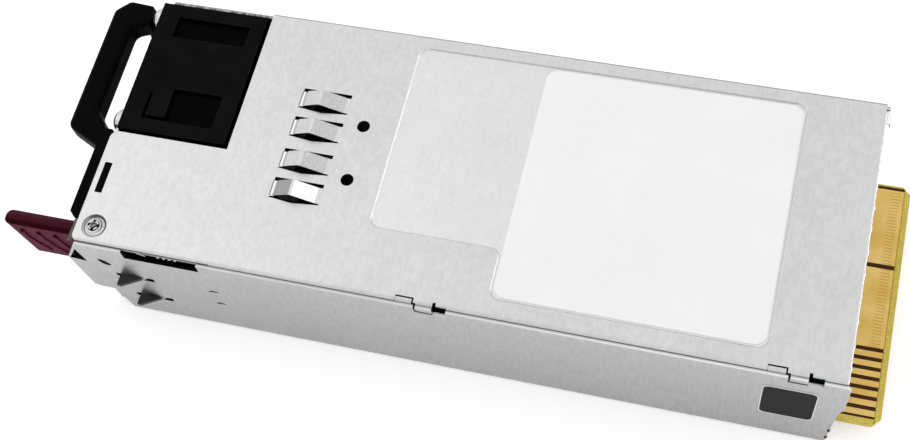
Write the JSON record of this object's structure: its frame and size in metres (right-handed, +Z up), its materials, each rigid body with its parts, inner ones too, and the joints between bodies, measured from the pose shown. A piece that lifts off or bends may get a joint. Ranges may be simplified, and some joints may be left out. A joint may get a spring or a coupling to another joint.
{
  "type": "server power supply",
  "caption": "Slim hot swap power supply in a sheet steel case, with a loop handle in front of its fan, a maroon release lever, a mains inlet and a gold board edge at the rear",
  "frame": {"origin": "middle of the case's underside", "axes": "+X from the handle to the board edge, +Y from the latch side to the far side, +Z up"},
  "size_m": [0.2201, 0.0764, 0.0414],
  "materials": {
    "steel": "galvanised satin",
    "fan_black": "fine texture",
    "handle_black": "fine texture",
    "inlet_black": "satin",
    "maroon": "satin",
    "screw_steel": "nickel plated",
    "rubber": "foam",
    "board_green": "solder mask",
    "gold": "gold plated",
    "copper": "enamelled or bare copper",
    "ferrite": "dull",
    "sink_aluminium": "extruded",
    "can_sleeve": "shrunk sleeve",
    "grey_box": "moulded",
    "blue_disc": "dipped",
    "clear_plastic": "polished",
    "film": "film",
    "label_white": "matte",
    "label_dark": "matte",
    "wire_insulation": "satin"
  },
  "bodies": {
    "case": {"chassis_tray": "steel", "top_cover": "steel", "cover_screw": "screw_steel", "front_plate": "steel", "rear_vent_plate": "steel", "handle": "handle_black", "ac_inlet": "inlet_black", "inlet_pins": "screw_steel", "inlet_leads": "wire_insulation", "latch_pin": "screw_steel", "fan_gasket": "rubber", "fan_frame": "fan_black", "fan_bearings": "screw_steel", "fan_stator": "copper", "fan_screws": "screw_steel", "fan_plug": "film", "fan_wires": "wire_insulation", "main_board": "board_green", "power_contacts": "gold", "signal_contacts": "gold", "insulating_sheet": "film", "board_standoffs": "screw_steel", "board_screws": "screw_steel", "light_pipe": "clear_plastic", "status_light": "film", "fuse": "grey_box", "relay": "grey_box", "x_capacitors": "grey_box", "y_capacitors": "blue_disc", "filter_choke_cores": "ferrite", "filter_choke_windings": "copper", "boost_choke_core": "ferrite", "boost_choke_winding": "copper", "primary_heat_sink": "sink_aluminium", "secondary_heat_sink": "sink_aluminium", "power_transistors": "inlet_black", "bridge_rectifier": "inlet_black", "bulk_capacitors": "can_sleeve", "transformer_core": "ferrite", "transformer_winding": "film", "standby_core": "ferrite", "standby_winding": "film", "output_capacitors": "can_sleeve", "output_bars": "copper", "control_board": "board_green", "control_chips": "inlet_black", "top_label": "label_white", "side_label": "label_dark"},
    "lever": {"release_lever": "maroon", "latch_plate": "steel", "latch_rivets": "screw_steel", "latch_spring": "screw_steel"},
    "rotor": {"fan_rotor": "fan_black", "fan_shaft": "screw_steel"}
  },
  "joints": [
    {"name": "lever_hinge", "type": "hinge", "parent": "case", "child": "lever", "pos_m": [-0.0605, -0.03275, 0.018], "axis": [0, 0, -1], "range_deg": [0, 7.2], "stiffness_Nm_per_rad": 0.06, "springref_deg": -20.05},
    {"name": "fan_spin", "type": "hinge", "parent": "case", "child": "rotor", "pos_m": [-0.0826, 0.01625, 0.0195], "axis": [1, 0, 0], "continuous": true}
  ]
}
